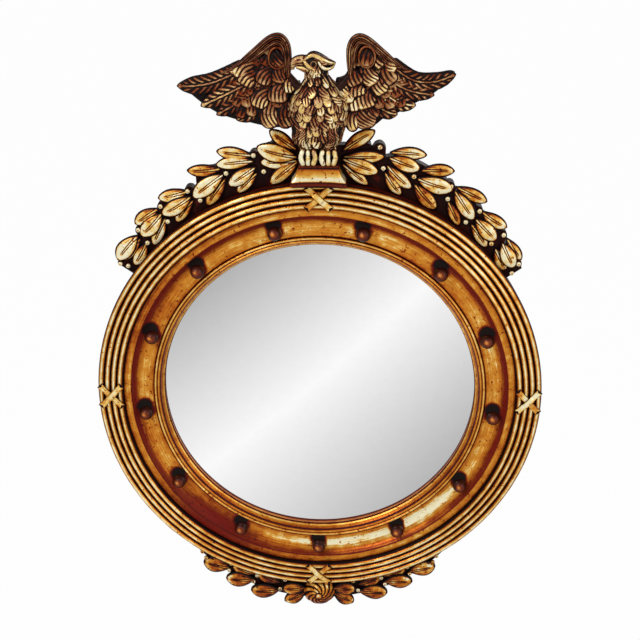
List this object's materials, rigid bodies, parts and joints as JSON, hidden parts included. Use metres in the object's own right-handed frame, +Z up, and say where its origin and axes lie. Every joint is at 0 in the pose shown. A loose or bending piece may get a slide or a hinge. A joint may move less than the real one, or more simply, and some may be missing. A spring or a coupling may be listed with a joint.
{
  "type": "girandole mirror",
  "caption": "Round convex wall mirror in a gilt reeded frame with dark balls and ribbon ties, a spread eagle and laurel crest above, a leafy apron below, and two D-ring hangers behind.",
  "frame": {"origin": "on the round frame's axis, in the plane of the backboard's back face, which lies against the wall", "axes": "+X to the viewer's right, +Y into the wall, +Z up"},
  "size_m": [0.5999, 0.0808, 0.833],
  "materials": {
    "frame_gilt": "antique gilding over red clay, dark in the grooves",
    "leaf_gilt": "antique gilding, pale on the high parts and near black in the hollows",
    "eagle_gilt": "brown antique gilding with cream highlights",
    "board_gilt": "dark red brown, nearly black",
    "dark_ball": "glossy dark brown",
    "mirror_glass": "silvered at the back",
    "bare_wood": "sawn and sanded, unpainted",
    "back_panel": "hardboard with a smooth face",
    "screw_steel": "zinc plated",
    "hanger_metal": "brass plated"
  },
  "bodies": {
    "frame": {"apron_board": "board_gilt", "apron_cleat": "bare_wood", "apron_cleat_screws": "screw_steel", "apron_rosette": "leaf_gilt", "apron_spray_left": "leaf_gilt", "apron_spray_right": "leaf_gilt", "backboard": "back_panel", "backboard_screws": "screw_steel", "ball_01": "dark_ball", "ball_02": "dark_ball", "ball_03": "dark_ball", "ball_04": "dark_ball", "ball_05": "dark_ball", "ball_06": "dark_ball", "ball_07": "dark_ball", "ball_08": "dark_ball", "ball_09": "dark_ball", "ball_10": "dark_ball", "ball_11": "dark_ball", "ball_12": "dark_ball", "ball_13": "dark_ball", "cavetto_ring": "frame_gilt", "convex_glass": "mirror_glass", "core_ring": "bare_wood", "crest_board": "board_gilt", "crest_cleat": "bare_wood", "crest_cleat_screws": "screw_steel", "eagle_body": "eagle_gilt", "eagle_dowels": "bare_wood", "eagle_foot_left": "eagle_gilt", "eagle_foot_right": "eagle_gilt", "eagle_head": "eagle_gilt", "eagle_wing_left": "eagle_gilt", "eagle_wing_right": "eagle_gilt", "glazing_blocks": "bare_wood", "hanger_screws": "screw_steel", "hanger_strap_left": "hanger_metal", "hanger_strap_right": "hanger_metal", "laurel_spray_left": "leaf_gilt", "laurel_spray_right": "leaf_gilt", "plinth": "frame_gilt", "reeded_ring": "frame_gilt", "ribbon_bottom": "frame_gilt", "ribbon_left": "frame_gilt", "ribbon_right": "frame_gilt", "ribbon_top": "frame_gilt", "sight_slip": "frame_gilt"},
    "d_ring_left": {"d_ring_left": "hanger_metal"},
    "d_ring_right": {"d_ring_right": "hanger_metal"}
  },
  "joints": [
    {"name": "d_ring_left_swing", "type": "hinge", "parent": "frame", "child": "d_ring_left", "pos_m": [-0.21299, -0.0112, 0.19401], "axis": [1, 0, 0], "range_deg": [0, 170]},
    {"name": "d_ring_right_swing", "type": "hinge", "parent": "frame", "child": "d_ring_right", "pos_m": [0.21299, -0.0112, 0.19401], "axis": [1, 0, 0], "range_deg": [0, 170]}
  ]
}
